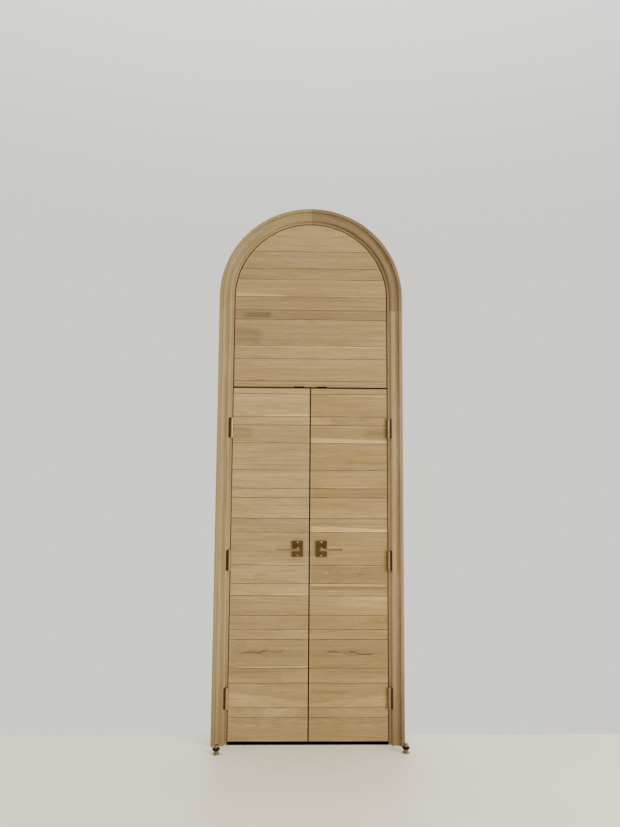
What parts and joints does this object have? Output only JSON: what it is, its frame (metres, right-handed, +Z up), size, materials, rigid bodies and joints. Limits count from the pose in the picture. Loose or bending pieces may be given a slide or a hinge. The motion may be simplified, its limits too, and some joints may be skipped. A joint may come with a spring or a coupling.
{
  "type": "arched wooden double door with frame",
  "caption": "Pair of narrow boarded oak leaves under a fixed arched panel, in a moulded round-headed casing, with butt hinges, levers, ball catches and floor stops.",
  "frame": {"origin": "on the floor, midway across the doorway, in the plane of the wall face that the casing lies on", "axes": "+X to the right seen from the room, +Y into the wall, away from the room that the leaves open into, +Z up"},
  "size_m": [1.1105, 0.251, 3.1395],
  "materials": {
    "board_oak": "clear matt sealed oak",
    "frame_oak": "clear matt sealed oak",
    "casing_oak": "clear matt sealed oak",
    "core_wood": "plain sawn wood",
    "back_veneer": "clear matt sealed oak veneer",
    "bronze": "dark antique bronze, satin",
    "hinge_brass": "satin brass",
    "screw_metal": "bright satin brass",
    "steel": "bright zinc plated steel",
    "rubber": "matt black rubber"
  },
  "bodies": {
    "frame": {"arch_lining": "frame_oak", "head_rail": "frame_oak", "stop_head": "frame_oak", "arch_bead": "frame_oak", "jamb_left": "frame_oak", "jamb_right": "frame_oak", "stop_left": "frame_oak", "stop_right": "frame_oak", "panel_core": "core_wood", "panel_boards": "board_oak", "strike_screws": "bronze", "hinge_pins": "hinge_brass", "frame_hinge_screws": "hinge_brass", "casing_leg_left": "casing_oak", "casing_arch_left": "casing_oak", "strike_left": "bronze", "floor_stop_left": "bronze", "floor_stop_ring_left": "rubber", "frame_hinge_plate_top_left": "hinge_brass", "frame_hinge_plate_middle_left": "hinge_brass", "frame_hinge_plate_bottom_left": "hinge_brass", "casing_leg_right": "casing_oak", "casing_arch_right": "casing_oak", "strike_right": "bronze", "floor_stop_right": "bronze", "floor_stop_ring_right": "rubber", "frame_hinge_plate_top_right": "hinge_brass", "frame_hinge_plate_middle_right": "hinge_brass", "frame_hinge_plate_bottom_right": "hinge_brass"},
    "leaf_left": {"leaf_core_left": "core_wood", "leaf_boards_left": "board_oak", "leaf_back_left": "back_veneer", "rose_left": "bronze", "rose_screws_left": "screw_metal", "spring_cassette_left": "steel", "catch_case_left": "steel", "catch_spring_left": "steel", "leaf_hinge_screws_left": "hinge_brass", "leaf_hinge_plate_top_left": "hinge_brass", "leaf_hinge_plate_middle_left": "hinge_brass", "leaf_hinge_plate_bottom_left": "hinge_brass"},
    "lever_left": {"lever_left": "bronze", "spindle_left": "steel"},
    "ball_left": {"catch_ball_left": "steel"},
    "leaf_right": {"leaf_core_right": "core_wood", "leaf_boards_right": "board_oak", "leaf_back_right": "back_veneer", "rose_right": "bronze", "rose_screws_right": "screw_metal", "spring_cassette_right": "steel", "catch_case_right": "steel", "catch_spring_right": "steel", "leaf_hinge_screws_right": "hinge_brass", "leaf_hinge_plate_top_right": "hinge_brass", "leaf_hinge_plate_middle_right": "hinge_brass", "leaf_hinge_plate_bottom_right": "hinge_brass"},
    "lever_right": {"lever_right": "bronze", "spindle_right": "steel"},
    "ball_right": {"catch_ball_right": "steel"}
  },
  "joints": [
    {"name": "left_leaf_swing", "type": "hinge", "parent": "frame", "child": "leaf_left", "pos_m": [-0.4643, -0.009, 1.0275], "axis": [0, 0, -1], "range_deg": [0, 105.4]},
    {"name": "left_lever_turn", "type": "hinge", "parent": "leaf_left", "child": "lever_left", "pos_m": [-0.0695, -0.03, 1.095], "axis": [0, -1, 0], "range_deg": [0, 40], "stiffness_Nm_per_rad": 1.2, "springref_deg": -34.38},
    {"name": "left_catch_ball_slide", "type": "slide", "parent": "leaf_left", "child": "ball_left", "axis": [0, 0, 1], "range_m": [-0.0037, 0.002], "stiffness_N_per_m": 500, "deforming": ["catch_spring_left"]},
    {"name": "right_leaf_swing", "type": "hinge", "parent": "frame", "child": "leaf_right", "pos_m": [0.4643, -0.009, 1.0275], "axis": [0, 0, 1], "range_deg": [0, 123.2]},
    {"name": "right_lever_turn", "type": "hinge", "parent": "leaf_right", "child": "lever_right", "pos_m": [0.0695, -0.03, 1.095], "axis": [0, 1, 0], "range_deg": [0, 40], "stiffness_Nm_per_rad": 1.2, "springref_deg": -34.38},
    {"name": "right_catch_ball_slide", "type": "slide", "parent": "leaf_right", "child": "ball_right", "axis": [0, 0, 1], "range_m": [-0.0037, 0.002], "stiffness_N_per_m": 500, "deforming": ["catch_spring_right"]}
  ]
}
